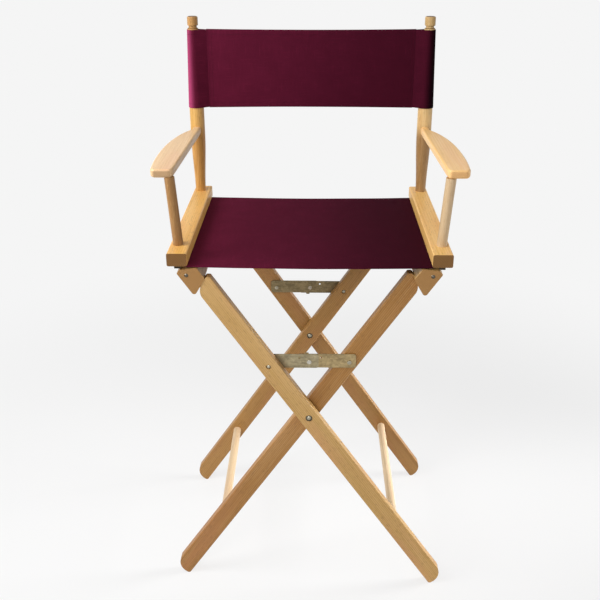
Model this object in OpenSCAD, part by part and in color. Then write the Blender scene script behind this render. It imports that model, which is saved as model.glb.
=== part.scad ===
// Tall folding directors chair: two crossing leg frames carry two arm frames on hinges,
// with a canvas seat and a canvas back stretched between the arm frames.
// Millimetres. X is across the chair, Y from front to back, Z up from the floor.

/* [Overall] */
// Height of the top of the seat rails
seat_h = 773; // [640:1:930]
// Clear width between the seat rails
seat_gap = 448; // [370:1:540]
// Length of the seat rails from front to back
rail_len = 406; // [370:1:490]
// Height of the back posts above the seat rails
post_h = 376; // [345:1:450]

/* [Seat rails] */
// Width of a seat rail
rail_w = 37; // [34:0.5:45]
// Height of a seat rail
rail_h = 25; // [24:0.5:32]
// Rounding of the seat rails' long edges
rail_round = 3; // [1:0.5:4]
// Diameter of the rod in the seat's hem
rod_d = 8; // [7:0.5:9]
// Wall between the rod groove and the inner face of the rail
groove_wall = 1.8; // [1.5:0.1:3]
// Wood left at the closed front end of the groove
groove_stop = 3.5; // [3:0.5:6]
// Width of the slot through which the canvas leaves the groove
slot_w = 4.5; // [4:0.1:6]
// Distance from the groove's centre to the underside of the rail
groove_up = 9; // [8:0.5:10]

/* [Arms] */
// Underside of the armrests above the seat rails
arm_up = 131; // [110:1:158]
// Thickness of an armrest
arm_t = 16; // [14:0.5:21]
// Rounding of the armrest's edges
arm_round = 4.5; // [2:0.5:6]
// Length of the armrest, from its front end to the middle of the rear post
arm_len = 339; // [300:1:370]
// How far the armrest's widest point lies outside the rear post's middle
arm_bulge = 46.5; // [38:0.5:54]
// Width of the armrest's narrow rear end
arm_neck_w = 17; // [14:0.5:20]
// Diameter of a front post
front_post_d = 19; // [16:0.5:23]
// Outward shift of a front post over its height
front_post_lean = 9; // [0:0.5:10]
// Distance of the front posts from the front end of the rails
front_post_in = 47; // [40:1:60]
// Tenon at both ends of a front post
front_tenon_d = 10; // [8:0.5:11]

/* [Rear posts] */
// Thickest part of a rear post, at the armrest
post_d = 31; // [28:0.5:37]
// Thin ends of a rear post
post_end_d = 22; // [19:0.5:26]
// Distance of the rear posts from the rear end of the rails
post_in = 29; // [24:1:35]
// Distance of the rear posts outside the middle of the rails
post_out = 3.5; // [0:0.5:5]
// Tenon of a rear post in its rail
post_tenon_d = 12; // [10:0.5:14]
// Height of the knob at the top
knob_h = 19; // [16:0.5:23]
// Neck below the knob
neck_d = 17; // [14:0.5:18]

/* [Legs] */
// Lean of the legs from upright when the chair is open
leg_angle = 34; // [31:0.5:37]
// Width of a leg board
leg_w = 38; // [35:0.5:43]
// Thickness of a leg board
leg_t = 18; // [16:0.5:22]
// Gap between the two boards of a crossing
leg_gap = 5; // [4.8:0.1:6]
// Rounding of the corners at the ends of a leg
leg_end_round = 30; // [24:1:32]
// Rounding of the leg boards' long edges
leg_edge_round = 2.5; // [1:0.5:4]
// Distance of the rear crossing from the rear end of the rails
rear_cross_in = 38; // [34:1:46]
// Height of the stretchers' centres above the floor
stretcher_h = 152; // [126:1:183]
// Diameter of a stretcher
stretcher_d = 18; // [15:0.5:21]

/* [Hinges] */
// Distance of a hinge pin outside the inner face of the seat rail
pin_out = 2.7; // [2:0.1:6]
// Distance of the hinge pins below the seat rails
pin_drop = 19; // [18.5:0.5:23]
// Diameter of a hinge pin
pin_d = 5; // [4:0.5:6]
// Length of a hinge pin inside its hinge rail
pin_hold = 30; // [25:1:36]
// Thickness of the hinge rails across the legs
hinge_w = 37; // [34:0.2:40]
// Sheet steel of the hinge brackets
bracket_t = 2; // [1.5:0.1:2.5]
// Running clearance on the radius of each pin and bolt
run_clear = 0.08; // [0.05:0.01:0.1]

/* [Bolts and braces] */
// Diameter of the bolts at the crossings
cross_bolt_d = 6.5; // [5.5:0.5:8]
// Distance of the braces' bolts above the crossing, along the legs
brace_up = 140; // [117:1:168]
// Height of a brace link
brace_h = 30; // [25:1:36]
// Sheet steel of a brace link
brace_t = 1.3; // [1:0.1:1.5]
// Diameter of the bolts between the braces and the legs
brace_bolt_d = 5; // [4:0.5:6]

/* [Canvas] */
// Thickness of the canvas
canvas_t = 1.2; // [0.8:0.1:1.4]
// Height of the back's canvas
back_h = 163; // [136:1:172]
// Sag in the middle of the seat
seat_sag = 3; // [1.5:0.5:8]

/* [Hidden] */
$fn = 64;

wood = "#E2BB80";
pale_wood = "#EBCFA0";
steel = "#A8A596";
canvas = "#5A152B";

slide_gap = 0.2;     // between faces that slide on each other
bolt_gap = 0.1;      // between a washer or head and what turns beside it
soft_gap = 0.3;      // between canvas and wood
glue_gap = 0.01;     // round a tenon or screw, on the radius
cut = 1;             // how far a cutter runs past the face it opens

// Seat rails and their grooves
rail_z = seat_h - rail_h;
rail_mid_x = seat_gap / 2 + rail_w / 2;
pocket_d = rod_d + 2 * slide_gap + 2 * canvas_t;
groove_d = pocket_d + 2 * soft_gap;
groove_x = seat_gap / 2 + groove_wall + groove_d / 2;
groove_z = rail_z + groove_up;
groove_front = -rail_len / 2 + groove_stop;

// Posts and armrests
post_x = rail_mid_x + post_out;
post_y = rail_len / 2 - post_in;
post_top = seat_h + post_h;
post_tenon_len = 19;
arm_z = seat_h + arm_up;
arm_x = post_x;
front_post_x = post_x - 0.5;
front_post_y = -rail_len / 2 + front_post_in;
front_post_turn = atan(front_post_lean / arm_up);
front_tenon_len = 14;
arm_tenon_len = 10;

// Leg directions: n runs across a leg and s along it, from the crossing bolt
pin_x = seat_gap / 2 + pin_out;
pin_z = rail_z - pin_drop;
pin_n = leg_w / 2 - 4;
pin_s = (pin_x - pin_n * cos(leg_angle)) / sin(leg_angle);
cross_z = pin_z - pin_s * cos(leg_angle) + pin_n * sin(leg_angle);

// Feet: the lower corner is rounded and sanded flat where it meets the floor
foot_tip_round = 5;
foot_flat_cut = 0.5;
foot_tip_drop = cross_z - foot_tip_round + foot_flat_cut
    - (leg_w / 2 - foot_tip_round) * sin(leg_angle);
foot_s = foot_tip_round + foot_tip_drop / cos(leg_angle);

// Hinge rail: a five-sided bar round the pin, its corners measured from the pin
hinge_end_in = 2.3;
hinge_half = rail_len / 2 - hinge_end_in;
hinge_out_n = pin_n + 12.7;
hinge_in_n = hinge_out_n - hinge_w;
hinge_top_n = pin_n + 4.3;
hinge_outer_s = pin_s + 13.4;
hinge_top_s = pin_s + 15.5;
hinge_shoulder_s = pin_s + 1.2;
hinge_seat_s = pin_s - 24.5;
hinge_toe_s = pin_s - 42.5;
hinge_round = 3;
hinge_soft_round = 5;
seat_slope = (hinge_seat_s - hinge_toe_s) / hinge_w;

// Crossings: the outer board is in front at the front, and behind at the rear
leg_front_in = 1.2;
front_mid_y = -hinge_half + leg_front_in + leg_t + leg_gap / 2;
rear_mid_y = rail_len / 2 - rear_cross_in;
outer_y = front_mid_y - leg_gap / 2 - leg_t / 2;
inner_y = front_mid_y + leg_gap / 2 + leg_t / 2;
outer_rear_y = front_mid_y + rear_mid_y - outer_y;
inner_rear_y = front_mid_y + rear_mid_y - inner_y;

// Joints of the legs
leg_tenon_d = 14;
leg_tenon_n = pin_n - 10.4;
leg_tenon_top = pin_s - 10;
leg_screw_len = 30;
leg_screw_s = pin_s - 21.4;
stretcher_s = (stretcher_h - cross_z) / cos(leg_angle);
stretcher_tenon_d = stretcher_d - 6;
stretcher_tenon_len = 13;

// Bolts at the crossings
washer_t = 1.2;
washer_d = cross_bolt_d * 2;
nut_t = cross_bolt_d * 0.8;
bolt_head_d = cross_bolt_d * 1.3;
bolt_head_t = 1.8;
bolt_sink_d = washer_d + 1;
bolt_sink = 2;

// Braces, measured from their bolts
brace_x = brace_up * sin(leg_angle);
brace_z = cross_z + brace_up * cos(leg_angle);
brace_over = 12.8;
brace_front_tail = 18.5;
brace_back_tail = 24;
brace_above = brace_h / 2 + 3;
brace_round = 5;
brace_side = (leg_gap - 2 * brace_t - slide_gap) / 2;
brace_head_d = brace_bolt_d * 1.7;
brace_head_t = 2.2;
brace_sink_d = brace_head_d + 1.4;
brace_sink = 1.8;
brace_tail_t = 1.4;
rivet_z = 1;
rivet_d = 6;
rivet_head_d = 9;
rivet_head_t = brace_side - 0.35;
brace_front_hole_x = 19.2;
brace_back_hole_x = 23;
brace_hole_d = 4;
lug_x = 5;
lug_w = 8;
lug_h = 3;

// Screws
screw_d = 4;
screw_head_d = 8;
screw_head_t = 2.6;
arm_screw_len = 45;
bracket_screw_len = 14;
bracket_screw_d = 3.5;

// Hinge brackets: each tab stands in a slot across its hinge rail
bracket_in = 20;
flange_x0 = pin_x + 9.5;
flange_x1 = pin_x + 21;
flange_end_in = 1;
flange_lip = 4.5;
tab_r = 6;
tab_clear = 0.8;
pin_head_d = 7.5;
pin_head_t = 2;

// Back canvas
back_top_in = 26;
back_z = post_top - back_top_in - back_h;
back_seam_in = 28;

// Rear post: how its radius changes with height
post_swell_top = arm_z - 8;
post_taper_foot = arm_z + arm_t + 32;
post_taper_top = post_top - 31;
knob_z = post_top - knob_h;
neck_h = 4;
function post_r(z) = z < post_taper_foot ? post_d / 2
    : post_d / 2 + (post_end_d - post_d) / 2
    * min(1, (z - post_taper_foot) / (post_taper_top - post_taper_foot));

function unit(v) = v / norm(v);
function turn_of(v) = atan2(v[1], v[0]);
function wrap(a) = a > 180 ? a - 360 : a < -180 ? a + 360 : a;
function ease(t) = t * t * (3 - 2 * t);

// Height along a leg of the hinge rail's lower face, against which the leg seats
function seat_s(n) = hinge_seat_s - seat_slope * (n - hinge_in_n);

// One rounded corner at b between a and c, in steps of about 10 degrees
function corner(a, b, c, r) =
    let (
        u = unit(a - b),
        v = unit(c - b),
        half = acos(u * v) / 2,
        mid = b + unit(u + v) * r / sin(half),
        from = turn_of(b + u * r / tan(half) - mid),
        sweep = wrap(turn_of(b + v * r / tan(half) - mid) - from),
        steps = max(2, round(abs(sweep) / 10))
    )
    [for (i = [0:steps]) mid + r * [cos(from + sweep * i / steps), sin(from + sweep * i / steps)]];

// Outline through corners that are given as [x, y, rounding]
function rounded(p) =
    [for (i = [0:len(p) - 1])
        let (
            a = p[(i + len(p) - 1) % len(p)],
            b = p[i],
            c = p[(i + 1) % len(p)]
        )
        each (b[2] > 0
            ? corner([a[0], a[1]], [b[0], b[1]], [c[0], c[1]], b[2])
            : [[b[0], b[1]]])];

// Points of a cubic curve from a to d, without its last one
function curve(a, b, c, d, steps) =
    [for (i = [0:steps - 1])
        let (t = i / steps, k = 1 - t)
        k * k * k * a + 3 * k * k * t * b + 3 * k * t * t * c + t * t * t * d];

// Anticlockwise outline moved inward by d
function inward(p, d) =
    [for (i = [0:len(p) - 1])
        let (
            a = unit(p[i] - p[(i + len(p) - 1) % len(p)]),
            b = unit(p[(i + 1) % len(p)] - p[i]),
            side = unit([-a[1] - b[1], a[0] + b[0]])
        )
        p[i] + d * side / max(0.5, side * [-a[1], a[0]])];

// Places a shape that is drawn in leg directions, with X as n and Z as s
module inner_lean() {
    translate([0, 0, cross_z]) rotate([0, leg_angle, 0]) children();
}

module outer_lean() {
    mirror([1, 0, 0]) inner_lean() children();
}

// Turns what is drawn for the front crossing round to the rear one
module rear_side() {
    translate([0, front_mid_y + rear_mid_y, 0]) mirror([0, 1, 0]) children();
}

module left() {
    mirror([1, 0, 0]) children();
}

// X-Z outline made into a plate along Y, from y0 to y1
module plate_y(outline, y0, y1) {
    translate([0, y1, 0]) rotate([90, 0, 0]) linear_extrude(height = y1 - y0) polygon(outline);
}

// Cylinder along Y from y0 to y1
module rod_y(d, y0, y1) {
    translate([0, y0, 0]) rotate([-90, 0, 0]) cylinder(d = d, h = y1 - y0);
}

// Low domed head on the XY plane
module dome(d, t) {
    r = (d * d / 4 + t * t) / (2 * t);
    intersection() {
        translate([0, 0, t - r]) sphere(r = r);
        cylinder(d = d, h = t);
    }
}

module above_floor() {
    reach = 1000;
    difference() {
        children();
        translate([-reach, -reach, -reach]) cube([2 * reach, 2 * reach, reach]);
    }
}

// Plate with rounded edges above and below, from an anticlockwise outline whose first and last
// two points bound a straight neck, which gets flat faces of its own
module eased_plate(outline, t, r) {
    steps = 4;
    n = len(outline);
    low = [for (i = [0:steps]) [r * (1 - sin(90 * i / steps)), r * (1 - cos(90 * i / steps))]];
    high = [for (i = [steps:-1:0]) [low[i][0], t - low[i][1]]];
    rings = concat(low, high);
    last = len(rings) - 1;
    points = [for (k = rings) each [for (p = inward(outline, k[0])) [p[0], p[1], k[1]]]];
    sides = [for (j = [0:last - 1], i = [0:n - 1])
        let (a = j * n + i, b = j * n + (i + 1) % n)
        each [[a, b + n, b], [a, a + n, b + n]]];
    neck = [0, 1, n - 2, n - 1];
    blade = [for (i = [1:n - 2]) i];
    caps = [for (cap = [neck, blade])
        each [cap, [for (i = [len(cap) - 1:-1:0]) last * n + cap[i]]]];
    polyhedron(points = points, faces = concat(sides, caps), convexity = 4);
}

// Countersunk screw that points up, its head's face at z = 0, with a cross for the driver
module wood_screw(length) {
    tip = screw_d;
    slot = [4.4, 0.8, 1.2];
    difference() {
        union() {
            cylinder(d = screw_d, h = length - tip);
            translate([0, 0, length - tip]) cylinder(d1 = screw_d, d2 = 1, h = tip);
            cylinder(d1 = screw_head_d, d2 = screw_d, h = screw_head_t);
        }
        for (turn = [0, 90])
            rotate([0, 0, turn])
                translate([-slot[0] / 2, -slot[1] / 2, -cut])
                    cube([slot[0], slot[1], cut + slot[2]]);
    }
}

module screw_hole(length) {
    wide = 2 * glue_gap;
    translate([0, 0, -cut]) cylinder(d = screw_head_d + wide, h = cut);
    cylinder(d1 = screw_head_d + wide, d2 = screw_d + wide, h = screw_head_t);
    cylinder(d = screw_d + wide, h = length + slide_gap);
}

// Leg screws enter the hinge rail's outer face and run through the leg's tenon
module at_leg_screw(y) {
    translate([hinge_out_n, y, leg_screw_s]) rotate([0, -90, 0]) children();
}

// Leg board: its top seats against the hinge rail and its foot is rounded
module leg_blank(y) {
    edge = leg_w / 2;
    tip_n = 7 - edge;
    end_round = min(leg_end_round, leg_w - foot_tip_round);
    outline = rounded([
        [edge, seat_s(edge), end_round],
        [tip_n, seat_s(tip_n), 3],
        [-edge, seat_s(tip_n) - 5, 4],
        [-edge, -foot_s, end_round],
        [edge, -foot_s, foot_tip_round]
    ]);
    section = rounded([
        [-edge, y - leg_t / 2, leg_edge_round],
        [edge, y - leg_t / 2, leg_edge_round],
        [edge, y + leg_t / 2, leg_edge_round],
        [-edge, y + leg_t / 2, leg_edge_round]
    ]);
    intersection() {
        plate_y(outline, y - leg_t, y + leg_t);
        translate([0, 0, -foot_s - cut])
            linear_extrude(height = foot_s + pin_s + cut) polygon(section);
    }
}

// Hole of diameter d, sunk from the board's face at face_y, which looks along dir
module sunk_hole(d, deep, face_y, dir) {
    rod_y(d, min(face_y - dir * deep, face_y + dir * cut), max(face_y - dir * deep, face_y + dir * cut));
}

module leg(y, stretcher_dir, outside) {
    tenon_foot = hinge_toe_s - 6;
    stretcher_face = y + stretcher_dir * leg_t / 2;
    outside_face = y + outside * leg_t / 2;
    difference() {
        union() {
            leg_blank(y);
            translate([leg_tenon_n, y, tenon_foot])
                cylinder(d = leg_tenon_d, h = leg_tenon_top - tenon_foot);
        }
        rod_y(cross_bolt_d + 2 * run_clear, y - leg_t, y + leg_t);
        if (outside < 0) sunk_hole(bolt_sink_d, bolt_sink, outside_face, outside);
        translate([0, 0, brace_up]) {
            rod_y(brace_bolt_d + 2 * glue_gap, y - leg_t, y + leg_t);
            sunk_hole(brace_sink_d, brace_sink, outside_face, outside);
        }
        translate([0, 0, stretcher_s])
            sunk_hole(stretcher_tenon_d + 2 * glue_gap, stretcher_tenon_len, stretcher_face, stretcher_dir);
        at_leg_screw(y) screw_hole(leg_screw_len);
    }
}

module stretcher(front_y, rear_y) {
    y0 = front_y + leg_t / 2;
    y1 = rear_y - leg_t / 2;
    deep = stretcher_tenon_len - slide_gap;
    translate([0, 0, stretcher_s]) {
        rod_y(stretcher_d, y0, y1);
        rod_y(stretcher_tenon_d, y0 - deep, y1 + deep);
    }
}

module hinge_rail(front_y, rear_y) {
    outline = rounded([
        [hinge_out_n, hinge_outer_s, hinge_round],
        [hinge_top_n, hinge_top_s, hinge_round],
        [hinge_in_n, hinge_shoulder_s, hinge_soft_round],
        [hinge_in_n, hinge_seat_s, hinge_soft_round],
        [hinge_out_n, hinge_toe_s, hinge_soft_round]
    ]);
    difference() {
        plate_y(outline, -hinge_half, hinge_half);
        for (y = [front_y, rear_y]) {
            translate([leg_tenon_n, y, hinge_toe_s - cut])
                cylinder(d = leg_tenon_d + 2 * glue_gap, h = leg_tenon_top + 2 * cut - hinge_toe_s);
            at_leg_screw(y) screw_hole(leg_screw_len);
        }
        for (end = [-1, 1]) {
            translate([pin_n, 0, pin_s])
                sunk_hole(pin_d + 2 * glue_gap, pin_hold + slide_gap, end * hinge_half, end);
            translate([pin_n - tab_r - tab_clear, end * (rail_len / 2 - bracket_in - bracket_t / 2),
                pin_s - tab_r - tab_clear])
                translate([0, -bracket_t / 2 - slide_gap, 0])
                    cube([hinge_w, bracket_t + 2 * slide_gap, hinge_w]);
        }
    }
}

// Pins in both ends of a hinge rail, each through the slot in which a bracket's tab stands
module hinge_pins() {
    head_y = hinge_half + glue_gap;
    for (turn = [0, 180])
        rotate([0, 0, turn]) translate([turn == 0 ? pin_x : -pin_x, 0, pin_z]) {
            rod_y(pin_d, hinge_half - pin_hold, head_y);
            translate([0, head_y, 0]) rotate([-90, 0, 0]) dome(pin_head_d, pin_head_t);
        }
}

// Bracket at the front right hinge: a tab round the pin and a flange under the seat rail,
// its front edge bent down
module hinge_bracket() {
    y0 = -rail_len / 2 + bracket_in;
    flange_y = -rail_len / 2 + flange_end_in;
    difference() {
        union() {
            hull() {
                translate([pin_x, 0, pin_z]) rod_y(2 * tab_r, y0, y0 + bracket_t);
                translate([flange_x0, y0, rail_z - bracket_t])
                    cube([flange_x1 - flange_x0, bracket_t, bracket_t]);
            }
            translate([flange_x0, flange_y, rail_z - bracket_t])
                cube([flange_x1 - flange_x0, y0 + bracket_t - flange_y, bracket_t]);
            translate([flange_x0, flange_y, rail_z - flange_lip])
                cube([flange_x1 - flange_x0, bracket_t, flange_lip]);
        }
        translate([pin_x, 0, pin_z]) rod_y(pin_d + 2 * run_clear, y0 - cut, y0 + bracket_t + cut);
        at_bracket_screws() cylinder(d = bracket_screw_d + 2 * glue_gap, h = 2 * bracket_t + 2 * cut,
            center = true);
    }
}

module at_bracket_screws() {
    for (back = [7, 15])
        translate([(flange_x0 + flange_x1) / 2, -rail_len / 2 + back, rail_z]) children();
}

module bracket_screws() {
    at_bracket_screws() {
        cylinder(d = bracket_screw_d, h = bracket_screw_len - bracket_screw_d);
        translate([0, 0, bracket_screw_len - bracket_screw_d])
            cylinder(d1 = bracket_screw_d, d2 = 1, h = bracket_screw_d);
        translate([0, 0, -bracket_t]) cylinder(d = bracket_screw_d, h = bracket_t);
        translate([0, 0, -bracket_t]) mirror([0, 0, 1]) dome(2 * bracket_screw_d, 1.8);
    }
}

module front_and_rear() {
    children();
    mirror([0, 1, 0]) children();
}

// Right arm frame
module seat_rail() {
    x0 = seat_gap / 2;
    section = rounded([
        [x0, rail_z, rail_round],
        [x0 + rail_w, rail_z, rail_round],
        [x0 + rail_w, seat_h, rail_round],
        [x0, seat_h, rail_round]
    ]);
    difference() {
        plate_y(section, -rail_len / 2, rail_len / 2);
        translate([groove_x, 0, groove_z]) rod_y(groove_d, groove_front, rail_len / 2 + cut);
        translate([groove_x - slot_w / 2, groove_front, rail_z - cut])
            cube([slot_w, rail_len / 2 - groove_front + cut, groove_up + cut]);
        translate([post_x, post_y, seat_h - post_tenon_len - slide_gap])
            cylinder(d = post_tenon_d + 2 * glue_gap, h = post_tenon_len + slide_gap + cut);
        front_post_axis(seat_h - front_tenon_len - slide_gap, seat_h + cut,
            front_tenon_d + 2 * glue_gap);
        front_and_rear() at_bracket_screws()
            cylinder(d = bracket_screw_d + 2 * glue_gap, h = 2 * bracket_screw_len + 1,
                center = true);
    }
}

// Leaning cylinder along the front post's axis between two heights
module front_post_axis(z0, z1, d) {
    translate([front_post_x, front_post_y, seat_h]) rotate([0, front_post_turn, 0])
        translate([0, 0, (z0 - seat_h) / cos(front_post_turn)])
            cylinder(d = d, h = (z1 - z0) / cos(front_post_turn));
}

module front_post() {
    slab = 4 * front_post_d;
    intersection() {
        front_post_axis(seat_h - front_post_d, arm_z + front_post_d, front_post_d);
        translate([front_post_x - slab / 2, front_post_y - slab / 2, seat_h])
            cube([slab, slab, arm_up]);
    }
    front_post_axis(seat_h - front_tenon_len, arm_z + arm_tenon_len, front_tenon_d);
}

module rear_post() {
    swell_steps = 10;
    edge = 3;
    profile = concat(
        [[0, seat_h - post_tenon_len], [post_tenon_d / 2, seat_h - post_tenon_len],
            [post_tenon_d / 2, seat_h]],
        [for (i = [0:swell_steps])
            let (t = i / swell_steps)
            [post_end_d / 2 + (post_d - post_end_d) / 2 * ease(t),
                seat_h + (post_swell_top - seat_h) * t]],
        [[post_d / 2, post_taper_foot], [post_end_d / 2, post_taper_top],
            [post_end_d / 2, knob_z - neck_h - 1], [neck_d / 2, knob_z - neck_h],
            [neck_d / 2, knob_z], [post_end_d / 2, knob_z + 1]],
        [for (a = [0:15:90])
            [post_end_d / 2 - edge * (1 - cos(a)), post_top - edge * (1 - sin(a))]],
        [[0, post_top]]
    );
    difference() {
        translate([post_x, post_y, 0]) rotate_extrude() polygon(profile);
        at_arm_screw() screw_hole(arm_screw_len);
    }
}

// The arm screw enters the back of the post and points forward into the armrest
module at_arm_screw() {
    sunk = 0.8;
    translate([post_x, post_y + post_d / 2 - sunk, arm_z + arm_t / 2])
        rotate([90, 0, 0]) children();
}

function armrest_outline() =
    let (
        in_x = arm_x - arm_neck_w / 2,
        neck_x = arm_x + arm_neck_w / 2,
        wide_x = arm_x + arm_bulge,
        front_y = post_y - arm_len,
        wide_y = front_y + 0.265 * arm_len,
        neck_in_y = post_y - 42,
        neck_out_y = post_y - 34
    )
    concat(
        [[in_x, post_y], [in_x, neck_in_y]],
        curve([in_x + 8.5, front_y + 20], [in_x + 9, front_y + 7], [in_x + 11, front_y],
            [in_x + 18, front_y], 8),
        [[in_x + 18, front_y]],
        curve([wide_x - 15, front_y], [wide_x - 8, front_y], [wide_x - 5, front_y + 4],
            [wide_x - 3.5, front_y + 14], 8),
        curve([wide_x - 3.5, front_y + 14], [wide_x - 1.5, front_y + 40],
            [wide_x, wide_y - 30], [wide_x, wide_y], 6),
        curve([wide_x, wide_y], [wide_x, wide_y + 85], [neck_x + 28.5, neck_out_y - 48],
            [neck_x, neck_out_y], 16),
        [[neck_x, neck_out_y], [neck_x, post_y]]
    );

module armrest() {
    difference() {
        translate([0, 0, arm_z]) eased_plate(armrest_outline(), arm_t, arm_round);
        translate([post_x, post_y, arm_z - cut]) cylinder(d = post_d, h = arm_t + 2 * cut);
        front_post_axis(arm_z - cut, arm_z + arm_tenon_len + slide_gap,
            front_tenon_d + 2 * glue_gap);
        at_arm_screw() screw_hole(arm_screw_len);
    }
}

module seat_rod() {
    translate([groove_x, 0, groove_z])
        rod_y(rod_d, groove_front + 2 * soft_gap, rail_len / 2 - groove_stop);
}

// Seat canvas: hems in the two grooves, necks through the slots, and a sheet between them
module seat_sling() {
    top = rail_z - soft_gap;
    end_x = groove_x + canvas_t / 2;
    steps = 24;
    xs = [for (i = [0:steps]) -end_x + 2 * end_x * i / steps];
    over = [for (x = xs) [x, top - seat_sag * (1 - pow(x / end_x, 2))]];
    under = [for (i = [steps:-1:0]) over[i] - [0, canvas_t]];
    y0 = groove_front + soft_gap;
    y1 = rail_len / 2 - groove_stop;
    hem_z = groove_z - rod_d / 2 - slide_gap;
    plate_y(concat(over, under), y0, y1);
    for (side = [-1, 1]) translate([side * groove_x, 0, 0]) {
        translate([-canvas_t, y0, top - canvas_t - 0.1])
            cube([2 * canvas_t, y1 - y0, hem_z - top + canvas_t]);
        translate([0, 0, groove_z]) ring_y(rod_d + 2 * slide_gap, pocket_d, y0, y1);
    }
}

// Back canvas: a flat panel between the posts, and round each post a tapered pocket that closes
// on the panel in a seam
module back_sling() {
    top = back_z + back_h;
    r0 = post_r(back_z) + soft_gap;
    r1 = post_r(top) + soft_gap;
    seam_x = post_x - back_seam_in;
    seam_w = 2;
    thread = 0.05;
    translate([-seam_x, post_y - canvas_t, back_z]) cube([2 * seam_x, canvas_t, back_h]);
    for (side = [0, 1])
        mirror([side, 0, 0]) difference() {
            pocket_form(r0 + canvas_t, r1 + canvas_t, seam_x - seam_w, canvas_t, back_z, back_h);
            pocket_form(r0, r1, seam_x + seam_w, thread, back_z - cut, back_h + 2 * cut);
        }
}

// Tapered drop-shaped bar: round at the post and thin at the seam
module pocket_form(r0, r1, seam_x, seam_half, z, h) {
    tip = 0.1;
    hull() {
        translate([post_x, post_y, z]) cylinder(r1 = r0, r2 = r1, h = h, $fn = 32);
        translate([seam_x, post_y - seam_half, z]) cube([tip, 2 * seam_half, h]);
    }
}

// Hardware of the front crossing
module pivot_bolt() {
    y0 = outer_y - leg_t / 2 + bolt_sink - bolt_gap - washer_t;
    y1 = inner_y + leg_t / 2 + bolt_gap + washer_t + nut_t + 2;
    translate([0, 0, cross_z]) {
        rod_y(cross_bolt_d, y0, y1);
        translate([0, y0, 0]) rotate([90, 0, 0]) dome(bolt_head_d, bolt_head_t);
    }
}

module ring_y(inner_d, outer_d, y0, y1) {
    difference() {
        rod_y(outer_d, y0, y1);
        rod_y(inner_d, y0 - cut, y1 + cut);
    }
}

module pivot_washers() {
    front = outer_y - leg_t / 2 + bolt_sink - bolt_gap;
    back = inner_y + leg_t / 2 + bolt_gap;
    translate([0, 0, cross_z]) {
        ring_y(cross_bolt_d, washer_d, front - washer_t, front);
        ring_y(cross_bolt_d, washer_d, back, back + washer_t);
    }
}

module pivot_spacer() {
    half = leg_gap / 2 - bolt_gap;
    translate([0, 0, cross_z])
        ring_y(cross_bolt_d, washer_d + 2, front_mid_y - half, front_mid_y + half);
}

module pivot_nut() {
    y0 = inner_y + leg_t / 2 + bolt_gap + washer_t;
    translate([0, y0, cross_z]) rotate([-90, 0, 0]) difference() {
        cylinder(d = cross_bolt_d * 1.85, h = nut_t, $fn = 6);
        translate([0, 0, -cut]) cylinder(d = cross_bolt_d, h = nut_t + 2 * cut);
    }
}

// Brace bolt along Z: a head sunk in the leg, a collar, the link and a riveted tail
module brace_bolt() {
    collar = brace_side - bolt_gap;
    tail_z = leg_t + brace_side + brace_t + bolt_gap;
    translate([0, 0, brace_sink]) {
        mirror([0, 0, 1]) dome(brace_head_d, brace_head_t);
        cylinder(d = brace_bolt_d, h = tail_z - brace_sink);
    }
    translate([0, 0, leg_t]) cylinder(d = brace_head_d, h = collar);
    translate([0, 0, tail_z]) cylinder(d = brace_head_d, h = brace_tail_t);
}

module outer_brace_bolt() {
    translate([-brace_x, outer_y - leg_t / 2, brace_z]) rotate([-90, 0, 0]) brace_bolt();
}

module inner_brace_bolt() {
    translate([brace_x, inner_y + leg_t / 2, brace_z]) rotate([90, 0, 0]) brace_bolt();
}

// Brace link in the X-Z plane, from its bolt end to its free end, between y0 and y1
module brace_link(bolt_dir, tail, hole_x, y0, y1) {
    bolt_x = bolt_dir * brace_x;
    end_x = bolt_x + bolt_dir * brace_over;
    free_x = -bolt_dir * tail;
    low = brace_z + brace_above - brace_h;
    high = brace_z + brace_above;
    outline = rounded([
        [min(end_x, free_x), low, brace_round],
        [max(end_x, free_x), low, brace_round],
        [max(end_x, free_x), high, brace_round],
        [min(end_x, free_x), high, brace_round]
    ]);
    difference() {
        plate_y(outline, y0, y1);
        translate([bolt_x, 0, brace_z]) rod_y(brace_bolt_d + 2 * run_clear, y0 - cut, y1 + cut);
        translate([0, 0, brace_z + rivet_z]) rod_y(rivet_d + 2 * glue_gap, y0 - cut, y1 + cut);
        translate([bolt_dir * hole_x, 0, brace_z + brace_above - 7.5])
            rod_y(brace_hole_d, y0 - cut, y1 + cut);
    }
}

link_in = front_mid_y - slide_gap / 2;
link_out = link_in - brace_t;
back_link_in = front_mid_y + slide_gap / 2;
back_link_out = back_link_in + brace_t;

module front_brace_left() {
    brace_link(-1, brace_front_tail, brace_front_hole_x, link_out, link_in);
}

module front_brace_right(lug_up) {
    brace_link(1, brace_back_tail, brace_back_hole_x, back_link_in, back_link_out);
    brace_lug(lug_up);
}

// Lug on the right link's upper or lower edge, by which the brace is pushed to fold it
module brace_lug(up) {
    edge = up ? brace_z + brace_above : brace_z + brace_above - brace_h;
    dir = up ? 1 : -1;
    plate_y(rounded([
        [-lug_x - lug_w / 2, edge - 2 * dir * lug_h, 0],
        [-lug_x + lug_w / 2, edge - 2 * dir * lug_h, 0],
        [-lug_x + lug_w / 2, edge + dir * lug_h, lug_h / 2],
        [-lug_x - lug_w / 2, edge + dir * lug_h, lug_h / 2]
    ]), back_link_in, back_link_out);
}

// Each half of the middle rivet ends where the two links meet
module rivet_front() {
    translate([0, 0, brace_z + rivet_z]) {
        rod_y(rivet_d, link_out, link_in);
        rod_y(rivet_head_d, link_out - rivet_head_t, link_out);
    }
}

module rivet_back() {
    translate([0, 0, brace_z + rivet_z]) {
        rod_y(rivet_d, back_link_in, back_link_out);
        rod_y(rivet_head_d, back_link_out, back_link_out + rivet_head_t);
    }
}

module both_braces() {
    children();
    rear_side() children();
}

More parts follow.
